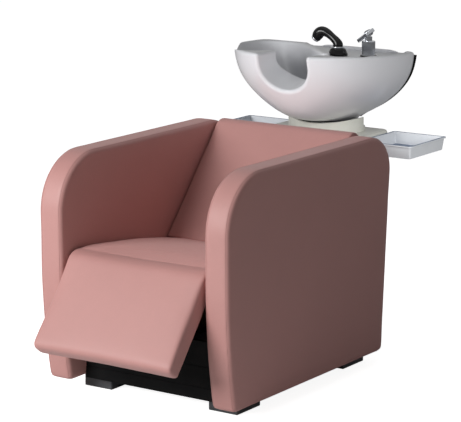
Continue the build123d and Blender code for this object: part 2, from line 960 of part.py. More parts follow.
def bowl_row(shares, rear, grow):
    """One level of the basin's outside: oval front, short straight sides and a flat rear."""
    height, wide, reach = shares
    half = bowl_half_width * wide + grow
    depth = bowl_front_reach * reach + grow
    z = bowl_base_z + bowl_height * height
    middle = bowl_widest_y
    turn = rear - middle
    cut = turn * (1 - 1 / sqrt(2))
    oval = Spline(
        [(half * cos(radians(angle)), middle + depth * sin(radians(angle))) for angle in OVAL_ANGLES],
        tangents=[(0, -1), (0, 1)],
    )
    return Pos(0, 0, z) * make_face(Wire([
        oval,
        ThreePointArc((-half, middle), (cut - half, rear - cut), (turn - half, rear)),
        Line((turn - half, rear), (half - turn, rear)),
        ThreePointArc((half - turn, rear), (half - cut, rear - cut), (half, middle)),
    ]))


def bowl_outside(rear, grow, drop):
    """Outer form of the basin, cut off level with its sloping rim less a drop."""
    form = loft([bowl_row(shares, rear, grow) for shares in BOWL_SHARES])
    span = (bowl_half_width + bowl_front_reach) * 2
    above = Box(span, span, bowl_height, align=(Align.CENTER, Align.CENTER, Align.MIN))
    return form - Pos(0, bowl_widest_y, bowl_rim_z - drop) * Rot(-rim_slope, 0, 0) * above


def cavity(grow):
    """Hollow that holds the water: a loft from a round floor at the waste to the rim edge."""
    rise = bowl_rim_z - drain_floor_z
    step = radians(full_turn / len(CAVITY_EDGE_SHARES))
    turn = atan2(CAVITY_EDGE_SHARES[0][1] * bowl_front_reach, CAVITY_EDGE_SHARES[0][0] * bowl_half_width)
    levels = []
    for height, share in CAVITY_SHARES:
        points = []
        for place, (x_share, y_share) in enumerate(CAVITY_EDGE_SHARES):
            angle = turn + place * step
            floor_x = drain_x + cavity_floor_radius * cos(angle)
            floor_y = drain_y + cavity_floor_radius * sin(angle)
            x = floor_x + (x_share * bowl_half_width - floor_x) * share
            y = floor_y + (cavity_y + y_share * bowl_front_reach - floor_y) * share
            away = grow / hypot(x - drain_x, y - drain_y)
            points.append((x + (x - drain_x) * away, y + (y - drain_y) * away))
        z = drain_floor_z - grow + (rise + grow) * height
        levels.append(Pos(0, 0, z) * make_face(Wire(Spline(points, periodic=True))))
    return loft(levels)


def neck_channel():
    """Cut of the neck recess: a round bottomed channel that falls to the front."""
    reach = bowl_front_reach
    profile = Circle(neck_radius) + Pos(0, reach / 2, 0) * Rectangle(neck_radius * 2, reach)
    start = Pos(neck_x, neck_lip_y + neck_run_out, neck_lip_z + neck_radius) * Rot(90 + neck_fall, 0, 0)
    return extrude(start * profile, amount=reach)


def deck_pocket():
    """Shallow pocket of the tap deck behind the ridge."""
    edge = [(x * bowl_half_width, cavity_y + y * bowl_front_reach) for x, y in DECK_EDGE_SHARES]
    floor = Pos(0, 0, bowl_rim_z - deck_drop) * make_face(Wire(Spline(edge, periodic=True)))
    return extrude(floor, amount=bowl_height)


def rim_height(y):
    """Height of the sloping rim plane."""
    return bowl_rim_z + (bowl_widest_y - y) * tan(radians(rim_slope))


def on_rim(edge):
    """Whether an edge lies in the sloping rim plane."""
    places = (edge @ 0, edge @ halfway, edge @ 1)
    return all(abs(place.Z - rim_height(place.Y)) < part_gap for place in places)


def lip_edges(body):
    """Edges of the rim and of the neck recess, without the seams between its faces."""
    edges = [edge for edge in body.edges() if on_rim(edge)]
    for edge in body.edges():
        middle = edge @ halfway
        in_front = middle.Y < neck_lip_y + neck_run_out * 2
        round_recess = in_front and abs(middle.X - neck_x) < neck_radius + part_gap
        above_base = middle.Z > neck_lip_z - neck_radius
        if round_recess and above_base and edge.geom_type != GeomType.LINE and not on_rim(edge):
            edges.append(edge)
    return edges


def hollow_row(shares, z):
    """One level of the room behind the deck."""
    return Pos(0, cavity_y, z) * make_face(
        Polyline(*[(x * bowl_half_width, y * bowl_front_reach) for x, y in shares], close=True)
    )


def rear_hollow():
    """Room behind and below the deck, open to the back panel."""
    high = hollow_row(HOLLOW_TOP_SHARES, deck_z - wall_thickness)
    low = hollow_row(HOLLOW_LOW_SHARES, drain_floor_z + wall_thickness)
    return loft([low, high], ruled=True)


def fresh_rim_edges(body, old_body):
    """Edges at rim level that body has and old_body hasn't."""
    old = [edge @ halfway for edge in old_body.edges()]
    edges = []
    for edge in body.edges():
        if on_rim(edge) and min((edge @ halfway - point).length for point in old) > part_gap:
            edges.append(edge)
    return edges


def basin_bowl():
    """Glazed basin: outer form, cavity, neck recess, tap deck and the room behind the deck."""
    body = bowl_outside(bowl_rear, 0, 0) - cavity(0) - neck_channel()
    body = fillet(lip_edges(body), rim_radius)
    pocket = body - deck_pocket()
    body = fillet(fresh_rim_edges(pocket, body), deck_edge_radius)
    body -= rear_hollow()
    body -= upright(drain_radius, drain_x, drain_y, bowl_base_z, bowl_rim_z)
    return body


def basin_back_panel():
    """Flat panel that closes the back of the basin, a little lower than its rim."""
    low = bowl_base_z
    right = []
    for height, wide, _ in BOWL_SHARES:
        right.append((bowl_half_width * wide - back_panel_inset, low + bowl_height * height))
    left = [(-x, z) for x, z in reversed(right)]
    outline = Wire([Spline(right), Line(right[-1], left[0]), Spline(left), Line(left[-1], right[0])])
    front = Pos(0, bowl_rear, 0) * Rot(90, 0, 0) * make_face(outline)
    panel = extrude(front, amount=back_panel_thickness, dir=(0, 1, 0))
    top = bowl_rim_z - back_panel_drop
    behind = bowl_rear + back_panel_thickness
    panel -= box(-bowl_half_width, bowl_half_width, bowl_rear, behind, top, top + bowl_height)
    return panel


def waste_strainer():
    """Flange with a ring of holes and a sleeve down into the waste pipe."""
    low = drain_floor_z - strainer_sleeve_length
    top = drain_floor_z + strainer_thickness
    piece = upright(strainer_radius, drain_x, drain_y, drain_floor_z, top)
    outer = drain_radius - slide_gap
    piece += upright(outer, drain_x, drain_y, low, drain_floor_z)
    piece -= upright(outer - strainer_sleeve_wall, drain_x, drain_y, low, drain_floor_z)
    place = Pos(drain_x, drain_y, drain_floor_z)
    for hole in PolarLocations(strainer_hole_circle, strainer_hole_count):
        piece -= place * hole * Cylinder(strainer_hole, strainer_thickness * 2)
    return piece


def waste_tailpiece():
    """Nut under the basin and the pipe stub below it."""
    top = drain_floor_z - drain_thickness
    low = top - tail_length
    step = drain_floor_z - strainer_sleeve_length
    piece = upright(drain_radius, drain_x, drain_y, low, top)
    piece += upright(drain_radius + tail_nut_wall, drain_x, drain_y, top - tail_nut_height, top)
    piece -= upright(drain_radius - tail_wall, drain_x, drain_y, low, step)
    piece -= upright(drain_radius, drain_x, drain_y, step, top)
    return piece


# Hand shower

def shower_base():
    """Turned foot on the deck with a socket for the ring's stem."""
    foot = shower_base_radius
    top = shower_base_height
    outline = Wire([
        Line((0, 0), (foot, 0)),
        Line((foot, 0), (foot, top * shower_skirt_share)),
        Spline((foot, top * shower_skirt_share), (shower_top_radius, top), tangents=[(-1, 1), (-1, 0)]),
        Line((shower_top_radius, top), (0, top)),
        Line((0, top), (0, 0)),
    ])
    piece = Pos(shower_x, shower_y, deck_z) * revolve(Plane.XZ * make_face(outline), Axis.Z)
    return piece - upright(shower_socket_radius, shower_x, shower_y, ring_z - shower_socket_depth, ring_z)


def shower_ring():
    """Ring round the foot of the hand shower, with the stem that drops into the socket."""
    top = ring_z + shower_ring_height
    piece = upright(shower_ring_radius, shower_x, shower_y, ring_z, top)
    piece = fillet(piece.edges(), shower_ring_height * shower_ring_edge_share)
    stem = shower_socket_radius - slide_gap
    return piece + upright(stem, shower_x, shower_y, ring_z - shower_socket_depth + part_gap, ring_z)


def shower_path():
    """Middle line of the handle, from the ring up and over to the spray head."""
    start = ring_z + shower_ring_height + shower_collar_height
    points = []
    for along, up in HANDLE_PATH_SHARES:
        points.append((shower_x - along * shower_reach, shower_y, start + up * shower_rise))
    return Spline(points, tangents=[(0, 0, 1), (-1, 0, -1)])


def shower_handle():
    path = shower_path()
    rings = []
    for place, wide in HANDLE_RADIUS_SHARES:
        section = Plane(origin=path @ place, z_dir=path % place) * Circle(wide * shower_foot_radius)
        rings.append(section)
    low = ring_z + shower_ring_height
    collar = upright(shower_foot_radius, shower_x, shower_y, low, low + shower_collar_height)
    return collar + loft(rings)


def shower_face():
    """Spray plate on the end of the head, with a raised middle."""
    path = shower_path()
    end = Plane(origin=path @ 1, z_dir=path % 1)
    plate = extrude(end * Circle(shower_face_radius), amount=shower_face_height)
    front = plate.faces().sort_by(Axis.Z)[0]
    return fillet(front.edges(), shower_face_round)


# Mixer

def mixer_place():
    """Middle of the mixer on the deck, turned so that -x points along the lever."""
    return Pos(mixer_x, mixer_y, deck_z) * Rot(0, 0, lever_turn_rest)


def mixer_base():
    pad = Cylinder(mixer_pad_radius, mixer_pad_height, align=(Align.CENTER, Align.CENTER, Align.MIN))
    pad = fillet(pad.faces().sort_by(Axis.Z)[-1].edges(), mixer_pad_height / 2)
    return mixer_place() * pad


def mixer_body():
    """Column with two flats and a bore for the stem of the turning collar."""
    column = Cylinder(mixer_radius, mixer_height, align=(Align.CENTER, Align.CENTER, Align.MIN))
    column &= Box(mixer_radius * 2, mixer_flat, mixer_height, align=(Align.CENTER, Align.CENTER, Align.MIN))
    column = fillet(column.faces().sort_by(Axis.Z)[-1].edges(), mixer_edge_radius)
    bore = Cylinder(mixer_stem_radius, mixer_stem_length, align=(Align.CENTER, Align.CENTER, Align.MAX))
    column -= Pos(0, 0, mixer_height) * bore
    return mixer_place() * Pos(0, 0, mixer_pad_height) * column


def pivot_place():
    """Middle of the lever's pivot pin, in the mixer's own directions."""
    return mixer_place() * Pos(0, 0, pivot_z - deck_z)


def mixer_collar():
    """Turning disc with its stem, an upright ear and the lever's pivot pin."""
    low = -(pivot_z - deck_z - mixer_pad_height - mixer_height)
    disc_top = low + mixer_collar_height
    piece = Pos(0, 0, low) * Cylinder(
        mixer_collar_radius, mixer_collar_height, align=(Align.CENTER, Align.CENTER, Align.MIN)
    )
    stem = mixer_stem_radius - slide_gap
    drop = mixer_stem_length - part_gap
    piece += Pos(0, 0, low) * Cylinder(stem, drop, align=(Align.CENTER, Align.CENTER, Align.MAX))
    ear = lever_ear_thickness
    wide = lever_ear_width
    piece += Pos(0, 0, disc_top) * Box(wide, ear, -disc_top, align=(Align.CENTER, Align.CENTER, Align.MIN))
    piece += Rot(90, 0, 0) * Cylinder(wide / 2, ear)
    piece += Rot(90, 0, 0) * Cylinder(lever_pin_radius, lever_barrel_length)
    return pivot_place() * piece


def tapered_plan(head, tip):
    """Outline round a large circle at the pivot and a small one at the lever's tip."""
    circles = [Circle(head).edge(), Pos(-lever_reach, 0, 0) * Circle(tip).edge()]
    return make_face(make_hull(circles))


def mixer_lever():
    """Open loop on a barrel that turns on the pivot pin."""
    plan = tapered_plan(lever_radius, lever_tip_radius)
    plan -= tapered_plan(lever_radius - lever_rim, lever_tip_radius - lever_tip_rim)
    loop = Pos(0, 0, -lever_thickness / 2) * extrude(plan, amount=lever_thickness)
    loop = fillet(loop.edges(), lever_edge_radius)
    piece = Rot(0, -lever_droop, 0) * loop
    piece += Rot(90, 0, 0) * Cylinder(lever_barrel_radius, lever_barrel_length)
    slot = lever_barrel_radius * 2
    piece -= Box(slot + part_gap, lever_ear_thickness + part_gap * 2, slot + part_gap)
    piece -= Rot(90, 0, 0) * Cylinder(lever_pin_radius + slide_gap, lever_barrel_length)
    return pivot_place() * piece


# Trays

def tray_block(inset, low, high, inner_draft):
    """Tapered body of a tray between two heights, drawn in by an inset."""
    x0 = shoulder_half_width + part_gap
    middle = Pos(x0 + tray_width / 2, tray_front + tray_length / 2, 0)
    rows = []
    for z, draft in ((low, inner_draft), (high, 0.0)):
        wide = tray_width - (inset + draft) * 2
        long = tray_length - (inset + draft) * 2
        rows.append(middle * Pos(0, 0, z) * RectangleRounded(wide, long, tray_corner - inset))
    return loft(rows)


def tray(side):
    """Open tray with drafted walls, a turned-out rim and a bead round its floor."""
    low = tray_top - tray_depth
    body = tray_block(tray_lip, low, tray_top, tray_draft)
    body += tray_block(0.0, tray_top - tray_lip_thickness, tray_top, 0.0)
    body -= tray_block(tray_lip + tray_wall, low + tray_wall, tray_top, tray_draft)
    return on_side(body, side)


def tray_bracket(side):
    """Angle under a tray: a leg on the shoulder cover and a flat under the tray's floor."""
    x0 = shoulder_half_width
    y0 = tray_front + tray_length / 2 - tray_bracket_width / 2
    top = tray_top - tray_depth
    low = shoulder_top - shoulder_side_height
    sheet = tray_bracket_thickness
    piece = box(x0, x0 + tray_bracket_reach, y0, y0 + tray_bracket_width, top - sheet, top)
    piece += box(x0, x0 + sheet, y0, y0 + tray_bracket_width, low, top - sheet)
    return on_side(piece, side)


# All pieces, by node name

def pieces():
    table = {
        "leg_rest_pad": leg_rest_pad(),
        "leg_rest_board": leg_rest_board(),
        "leg_rest_hinge_frame": leg_rest_hinge_frame(),
        "leg_rest_shaft": leg_rest_shaft(),
        "seat_cushion": seat_cushion(),
        "seat_board": seat_board(),
        "back_cushion": back_cushion(),
        "back_board": back_board(),
        "rear_panel": rear_panel(),
        "plinth_front_panel": plinth_front_panel(),
        "base_frame": base_frame(),
        "column_post": column_post(),
        "tilt_shaft": tilt_shaft(),
        "basin_cradle": basin_cradle(),
        "shoulder_cover": shoulder_cover(),
        "pedestal_cover": pedestal_cover(),
        "service_door": service_door(),
        "saddle_cover": saddle_cover(),
        "basin_bowl": basin_bowl(),
        "basin_back_panel": basin_back_panel(),
        "waste_strainer": waste_strainer(),
        "waste_tailpiece": waste_tailpiece(),
        "shower_base": shower_base(),
        "shower_ring": shower_ring(),
        "shower_handle": shower_handle(),
        "shower_face": shower_face(),
        "mixer_base": mixer_base(),
        "mixer_body": mixer_body(),
        "mixer_collar": mixer_collar(),
        "mixer_lever": mixer_lever(),
    }
    for side in SIDES:
        table[side + "_arm_pad"] = arm_pad(side)
        table[side + "_arm_core"] = arm_core(side)
        table[side + "_side_board"] = side_board(side)
        table[side + "_leg_rest_bracket"] = leg_rest_bracket(side)
        table["front_" + side + "_foot"] = foot(side, front_foot_y)
        table["rear_" + side + "_foot"] = foot(side, rear_foot_y)
        table["column_" + side + "_foot"] = column_foot(side)
        table[side + "_tilt_bearing"] = tilt_bearing(side)
        table[side + "_tray"] = tray(side)
        table[side + "_tray_bracket"] = tray_bracket(side)
    return table


def middle_y(table):
    """Middle of the whole unit along y."""
    boxes = [piece.bounding_box() for piece in table.values()]
    front = min(bounds.min.Y for bounds in boxes)
    rear = max(bounds.max.Y for bounds in boxes)
    return (front + rear) / 2


table = pieces()
shift = middle_y(table)
os.makedirs("parts", exist_ok=True)
for name, piece in table.items():
    moved = Pos(0, -shift, 0) * piece
    moved.label = name
    export_step(moved, "parts/" + name + ".step")
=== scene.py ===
import json
import math

import bmesh
import bpy
import numpy
from mathutils import Matrix, Vector
from mathutils.bvhtree import BVHTree

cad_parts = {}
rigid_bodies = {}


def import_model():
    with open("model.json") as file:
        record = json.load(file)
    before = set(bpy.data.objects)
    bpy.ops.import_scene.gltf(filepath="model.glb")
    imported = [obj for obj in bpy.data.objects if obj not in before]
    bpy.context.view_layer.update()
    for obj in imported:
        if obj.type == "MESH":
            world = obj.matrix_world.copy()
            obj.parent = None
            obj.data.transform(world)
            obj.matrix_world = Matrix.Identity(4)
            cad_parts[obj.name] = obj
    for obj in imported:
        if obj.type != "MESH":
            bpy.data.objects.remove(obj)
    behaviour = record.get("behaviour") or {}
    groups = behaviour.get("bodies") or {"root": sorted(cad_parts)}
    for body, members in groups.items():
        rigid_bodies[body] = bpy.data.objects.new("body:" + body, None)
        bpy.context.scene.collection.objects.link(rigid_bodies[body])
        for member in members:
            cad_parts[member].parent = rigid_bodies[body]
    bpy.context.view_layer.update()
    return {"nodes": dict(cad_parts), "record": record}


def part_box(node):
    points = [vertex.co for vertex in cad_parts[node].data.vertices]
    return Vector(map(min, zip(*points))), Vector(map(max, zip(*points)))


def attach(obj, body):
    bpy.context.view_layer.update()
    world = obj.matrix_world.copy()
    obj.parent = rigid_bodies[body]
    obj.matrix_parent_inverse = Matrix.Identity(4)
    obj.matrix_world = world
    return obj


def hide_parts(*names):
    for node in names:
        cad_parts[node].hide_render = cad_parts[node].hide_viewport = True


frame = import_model()
SHIFT_Y = 0.5061646
MM_PER_METRE = 1000


def at(x, y, z):
    """Point given in millimetres on the drawing, in the frame's metres."""
    return Vector((x / MM_PER_METRE, y / MM_PER_METRE - SHIFT_Y, z / MM_PER_METRE))


def srgb(red, green, blue):
    """Colour as read off a screen, as the linear value that a shader takes."""
    out = []
    for value in (red, green, blue):
        share = value / 255
        out.append(share / 12.92 if share <= 0.04045 else ((share + 0.055) / 1.055) ** 2.4)
    return (*out, 1.0)


# Camera: it comes first, level with the upper part of the unit and well to its right

AZIMUTH = 34.602
ELEVATION = 11.942
ROLL = -0.137
DISTANCE = 6.9248
LENS = 172.73
AIM = at(17.15, 475.07, 528.1)


def place_camera():
    azimuth = math.radians(AZIMUTH)
    elevation = math.radians(ELEVATION)
    back = Vector((
        math.sin(azimuth) * math.cos(elevation),
        -math.cos(azimuth) * math.cos(elevation),
        math.sin(elevation),
    ))
    right = Vector((math.cos(azimuth), math.sin(azimuth), 0.0))
    up = back.cross(right)
    roll = math.radians(ROLL)
    side = right * math.cos(roll) + up * math.sin(roll)
    top = up * math.cos(roll) - right * math.sin(roll)
    place = AIM + back * DISTANCE
    data = bpy.data.cameras.new("camera")
    data.lens = LENS
    data.sensor_width = 36
    data.sensor_fit = "HORIZONTAL"
    data.clip_end = 100
    camera = bpy.data.objects.new("camera", data)
    turn = Matrix((side, top, back)).transposed().to_4x4()
    camera.matrix_world = Matrix.Translation(place) @ turn
    bpy.context.scene.collection.objects.link(camera)
    bpy.context.scene.camera = camera


place_camera()


# Node groups that several finishes share

def new_group(name, inputs, outputs):
    group = bpy.data.node_groups.new(name, "ShaderNodeTree")
    for label, value in inputs:
        socket = group.interface.new_socket(label, in_out="INPUT", socket_type="NodeSocketFloat")
        socket.default_value = value
    for label, kind in outputs:
        group.interface.new_socket(label, in_out="OUTPUT", socket_type=kind)
    start = group.nodes.new("NodeGroupInput")
    end = group.nodes.new("NodeGroupOutput")
    return group, start, end


def add(tree, kind, **settings):
    node = tree.nodes.new(kind)
    for key, value in settings.items():
        setattr(node, key, value)
    return node


def noise(tree, place, scale, detail=2.0, rough=0.5):
    """Noise over the piece's own coordinates; scale is a number or a socket."""
    node = add(tree, "ShaderNodeTexNoise")
    tree.links.new(place, node.inputs["Vector"])
    feed(tree, scale, node.inputs["Scale"])
    node.inputs["Detail"].default_value = detail
    node.inputs["Roughness"].default_value = rough
    return node.outputs["Fac"]


def feed(tree, value, socket):
    if isinstance(value, (int, float)):
        socket.default_value = value
    else:
        tree.links.new(value, socket)


def maths(tree, operation, first, second=0.0, clamp=False):
    node = add(tree, "ShaderNodeMath", operation=operation, use_clamp=clamp)
    feed(tree, first, node.inputs[0])
    feed(tree, second, node.inputs[1])
    return node.outputs[0]


def spread(tree, value, low, high, to_low=0.0, to_high=1.0):
    node = add(tree, "ShaderNodeMapRange")
    node.clamp = True
    tree.links.new(value, node.inputs["Value"])
    feed(tree, low, node.inputs["From Min"])
    feed(tree, high, node.inputs["From Max"])
    feed(tree, to_low, node.inputs["To Min"])
    feed(tree, to_high, node.inputs["To Max"])
    return node.outputs["Result"]


def own_coordinates(tree):
    return add(tree, "ShaderNodeTexCoord").outputs["Object"]


def make_pebble_grain():
    """Fine pebbled grain of coated upholstery: height of the grain and its darker creases."""
    group, start, end = new_group(
        "pebble_grain",
        [("Size", 700.0), ("Crease", 0.35)],
        [("Height", "NodeSocketFloat"), ("Crease", "NodeSocketFloat")],
    )
    place = own_coordinates(group)
    cells = add(group, "ShaderNodeTexVoronoi", feature="DISTANCE_TO_EDGE")
    group.links.new(place, cells.inputs["Vector"])
    group.links.new(start.outputs["Size"], cells.inputs["Scale"])
    cells.inputs["Randomness"].default_value = 0.9
    dome = spread(group, cells.outputs["Distance"], 0.0, 0.22)
    fine = noise(group, place, maths(group, "MULTIPLY", start.outputs["Size"], 2.4), 3.0, 0.6)
    height = maths(group, "ADD", dome, maths(group, "MULTIPLY", fine, 0.35))
    group.links.new(height, end.inputs["Height"])
    low = spread(group, dome, 0.0, 0.5, 1.0, 0.0)
    group.links.new(maths(group, "MULTIPLY", low, start.outputs["Crease"]), end.inputs["Crease"])
    return group


BROAD_SHARE = 0.65


def make_handling():
    """Slow changes of tone and gloss from use and cleaning."""
    group, start, end = new_group(
        "handling",
        [("Broad", 3.0), ("Near", 22.0)],
        [("Tone", "NodeSocketFloat"), ("Gloss", "NodeSocketFloat")],
    )
    place = own_coordinates(group)
    broad = noise(group, place, start.outputs["Broad"], 2.0, 0.5)
    near = noise(group, place, start.outputs["Near"], 4.0, 0.6)
    broad_part = maths(group, "MULTIPLY", broad, BROAD_SHARE)
    near_part = maths(group, "MULTIPLY", near, 1 - BROAD_SHARE)
    tone = maths(group, "ADD", broad_part, near_part)
    group.links.new(spread(group, tone, 0.34, 0.66), end.inputs["Tone"])
    group.links.new(spread(group, near, 0.3, 0.7), end.inputs["Gloss"])
    return group


def make_edge_wear():
    """Worn and dusty edges: a mask that is strong on sharp outer edges."""
    group, start, end = new_group(
        "edge_wear",
        [("Amount", 0.5), ("Breakup", 60.0)],
        [("Worn", "NodeSocketFloat")],
    )
    bend = add(group, "ShaderNodeNewGeometry").outputs["Pointiness"]
    place = own_coordinates(group)
    patch = noise(group, place, start.outputs["Breakup"], 5.0, 0.65)
    edge = spread(group, bend, 0.52, 0.6)
    worn = maths(group, "MULTIPLY", edge, spread(group, patch, 0.42, 0.62))
    group.links.new(maths(group, "MULTIPLY", worn, start.outputs["Amount"]), end.inputs["Worn"])
    return group


def make_brushing():
    """Fine lines drawn along one direction, for brushed and drawn metal."""
    group, start, end = new_group(
        "brushing",
        [("Fineness", 900.0)],
        [("Lines", "NodeSocketFloat")],
    )
    place = own_coordinates(group)
    stretch = add(group, "ShaderNodeMapping")
    group.links.new(place, stretch.inputs["Vector"])
    stretch.inputs["Scale"].default_value = (0.03, 1.0, 1.0)
    lines = noise(group, stretch.outputs["Vector"], start.outputs["Fineness"], 3.0, 0.6)
    group.links.new(lines, end.inputs["Lines"])
    return group


def make_wood_grain():
    """Long growth lines of plywood."""
    group, start, end = new_group("wood_grain", [("Lines", 26.0)], [("Figure", "NodeSocketFloat")])
    place = own_coordinates(group)
    stretch = add(group, "ShaderNodeMapping")
    group.links.new(place, stretch.inputs["Vector"])
    stretch.inputs["Scale"].default_value = (0.12, 1.0, 1.0)
    wave = add(group, "ShaderNodeTexWave", bands_direction="Y")
    group.links.new(stretch.outputs["Vector"], wave.inputs["Vector"])
    group.links.new(start.outputs["Lines"], wave.inputs["Scale"])
    wave.inputs["Distortion"].default_value = 5.0
    wave.inputs["Detail"].default_value = 3.0
    group.links.new(wave.outputs["Fac"], end.inputs["Figure"])
    return group


GROUPS = {
    "pebble": make_pebble_grain(),
    "handling": make_handling(),
    "wear": make_edge_wear(),
    "brushing": make_brushing(),
    "wood": make_wood_grain(),
}


def place_group(tree, name, **values):
    node = add(tree, "ShaderNodeGroup", node_tree=GROUPS[name])
    for label, value in values.items():
        node.inputs[label].default_value = value
    return node.outputs


def mix_colour(tree, share, first, second):
    node = add(tree, "ShaderNodeMix", data_type="RGBA")
    feed(tree, share, node.inputs["Factor"])
    for value, socket in ((first, node.inputs[6]), (second, node.inputs[7])):
        if isinstance(value, tuple):
            socket.default_value = value
        else:
            tree.links.new(value, socket)
    return node.outputs[2]


def shade(colour, factor):
    return (*[min(1.0, part * factor) for part in colour[:3]], 1.0)


def start_material(name, **values):
    material = bpy.data.materials.new(name)
    material.use_nodes = True
    tree = material.node_tree
    shader = tree.nodes["Principled BSDF"]
    for label, value in values.items():
        shader.inputs[label.replace("_", " ")].default_value = value
    return material, tree, shader


def bump(tree, shader, height, strength, distance):
    node = add(tree, "ShaderNodeBump")
    node.inputs["Strength"].default_value = strength
    node.inputs["Distance"].default_value = distance
    tree.links.new(height, node.inputs["Height"])
    tree.links.new(node.outputs["Normal"], shader.inputs["Normal"])


def set_roughness(tree, shader, use, low, high):
    tree.links.new(spread(tree, use["Gloss"], 0.0, 1.0, low, high), shader.inputs["Roughness"])


def leatherette(name, colour, grain_size=750.0):
    """Coated upholstery: pebbled, faintly mottled, a little glossier where it is rubbed."""
    shine = {"Specular_IOR_Level": 0.45, "Sheen_Weight": 0.1, "Sheen_Roughness": 0.4}
    material, tree, shader = start_material(name, **shine)
    grain = place_group(tree, "pebble", Size=grain_size, Crease=0.18)
    use = place_group(tree, "handling", Broad=2.6, Near=30.0)
    wear = place_group(tree, "wear", Amount=0.3, Breakup=45.0)
    base = mix_colour(tree, use["Tone"], shade(colour, 0.965), shade(colour, 1.03))
    creased = mix_colour(tree, grain["Crease"], base, shade(colour, 0.62))
    rubbed = mix_colour(tree, wear["Worn"], creased, shade(colour, 1.12))
    tree.links.new(rubbed, shader.inputs["Base Color"])
    set_roughness(tree, shader, use, 0.46, 0.56)
    bump(tree, shader, grain["Height"], 0.22, 0.00025)
    return material


def smooth_plastic(name, colour, rough, dusty=0.0, grain=0.0, glint=0.5, level_shade=None):
    """Moulded plastic or powder coat, with an optional painted shade: a darker colour laid on the
    faces that face upward.
    """
    material, tree, shader = start_material(name, Specular_IOR_Level=glint)
    use = place_group(tree, "handling", Broad=5.0, Near=40.0)
    wear = place_group(tree, "wear", Amount=0.35, Breakup=70.0)
    base = mix_colour(tree, use["Tone"], shade(colour, 0.95), shade(colour, 1.04))
    if level_shade is not None:
        # painted shade: faces that face upward take the darker colour given, standing in for the
        # shade that falls on them
        normal = add(tree, "ShaderNodeSeparateXYZ")
        tree.links.new(add(tree, "ShaderNodeNewGeometry").outputs["Normal"], normal.inputs[0])
        base = mix_colour(tree, spread(tree, normal.outputs["Z"], 0.9, 0.99), base, level_shade)
    lighter = shade(colour, 1.25 + dusty)
    tree.links.new(mix_colour(tree, wear["Worn"], base, lighter), shader.inputs["Base Color"])
    set_roughness(tree, shader, use, rough, rough + 0.06)
    height = noise(tree, own_coordinates(tree), 380.0 if grain else 160.0, 3.0, 0.55)
    bump(tree, shader, height, 0.12 + grain, 0.0002)
    return material


def glaze(name, colour):
    """Thick white glaze: faint depth changes under a clear, mirror-smooth skin."""
    material, tree, shader = start_material(name, Coat_Weight=0.5, Coat_Roughness=0.05, Coat_IOR=1.5)
    use = place_group(tree, "handling", Broad=1.6, Near=3.0)
    base = mix_colour(tree, use["Tone"], shade(colour, 0.985), shade(colour, 1.01))
    tree.links.new(base, shader.inputs["Base Color"])
    set_roughness(tree, shader, use, 0.28, 0.31)
    height = noise(tree, own_coordinates(tree), 9.0, 0.0, 0.3)
    bump(tree, shader, height, 0.04, 0.0006)
    return material


def metal(name, colour, rough, lines=0.0):
    material, tree, shader = start_material(name, Metallic=1.0)
    use = place_group(tree, "handling", Broad=9.0, Near=60.0)
    brush = place_group(tree, "brushing", Fineness=800.0)
    base = mix_colour(tree, use["Tone"], shade(colour, 0.93), shade(colour, 1.03))
    tree.links.new(base, shader.inputs["Base Color"])
    set_roughness(tree, shader, use, rough, rough + 0.05)
    if lines:
        bump(tree, shader, brush["Lines"], lines, 0.0001)
    return material


def board(name, colour, dark, rough, glint=0.25):
    material, tree, shader = start_material(name, Specular_IOR_Level=glint)
    figure = place_group(tree, "wood", Lines=26.0)
    use = place_group(tree, "handling", Broad=4.0, Near=30.0)
    base = mix_colour(tree, figure["Figure"], dark, colour)
    tree.links.new(base, shader.inputs["Base Color"])
    set_roughness(tree, shader, use, rough, rough + 0.12)
    bump(tree, shader, figure["Figure"], 0.15, 0.0003)
    return material


PINK = srgb(192, 141, 136)
FINISHES = {
    "pink_leatherette": leatherette("pink_leatherette", PINK),
    "plywood": board("plywood", srgb(190, 155, 112), srgb(150, 112, 72), 0.5),
    "black_board": board("black_board", srgb(11, 11, 12), srgb(7, 7, 8), 0.6, glint=0.12),
    "grey_feet": smooth_plastic("grey_feet", srgb(66, 67, 70), 0.5, dusty=0.3, grain=0.15),
    "black_steel": smooth_plastic("black_steel", srgb(34, 34, 36), 0.42, grain=0.1),
    "bright_steel": metal("bright_steel", srgb(178, 180, 184), 0.25, lines=0.2),
    "warm_grey_cover": smooth_plastic("warm_grey_cover", srgb(196, 196, 188), 0.3),
    "white_glaze": glaze("white_glaze", srgb(226, 227, 231)),
    "black_plastic": smooth_plastic("black_plastic", srgb(10, 10, 11), 0.1, glint=0.25),
    "chrome": metal("chrome", srgb(222, 225, 230), 0.1),
    # the tray's upward faces get painted shade, darker and bluer than its walls
    "blue_grey_tray": smooth_plastic(
        "blue_grey_tray", srgb(210, 213, 217), 0.4, grain=0.05, level_shade=srgb(104, 120, 146)
    ),
}


def dress_frame():
    """Every CAD piece that stays in view gets its finish."""
    for row in frame["record"]["subparts"]:
        node = frame["nodes"][row["node"]]
        material = FINISHES[row["material_slot"]]
        node.data.materials.clear()
        node.data.materials.append(material)


dress_frame()


# Upholstery: each soft piece starts from its solid and is stuffed by cloth simulation, and the arm
# covers get sewn seams

SOFTENING = 3
STUFFING_FRAMES = 20
EVENING_ROUNDS = 40
OWN_SHARE = 0.4
NEIGHBOUR_SHARE = 0.6
TINY = 1e-9


def new_piece(name, mesh):
    piece = bpy.data.objects.new(name, mesh)
    bpy.context.scene.collection.objects.link(piece)
    return piece


def only(piece):
    for other in bpy.context.selected_objects:
        other.select_set(False)
    bpy.context.view_layer.objects.active = piece
    piece.select_set(True)


def apply_modifiers(piece):
    only(piece)
    for modifier in list(piece.modifiers):
        bpy.ops.object.modifier_apply(modifier=modifier.name)


def add_smoothing(piece, name, rounds):
    smooth = piece.modifiers.new(name, "SMOOTH")
    smooth.factor = 0.5
    smooth.iterations = rounds


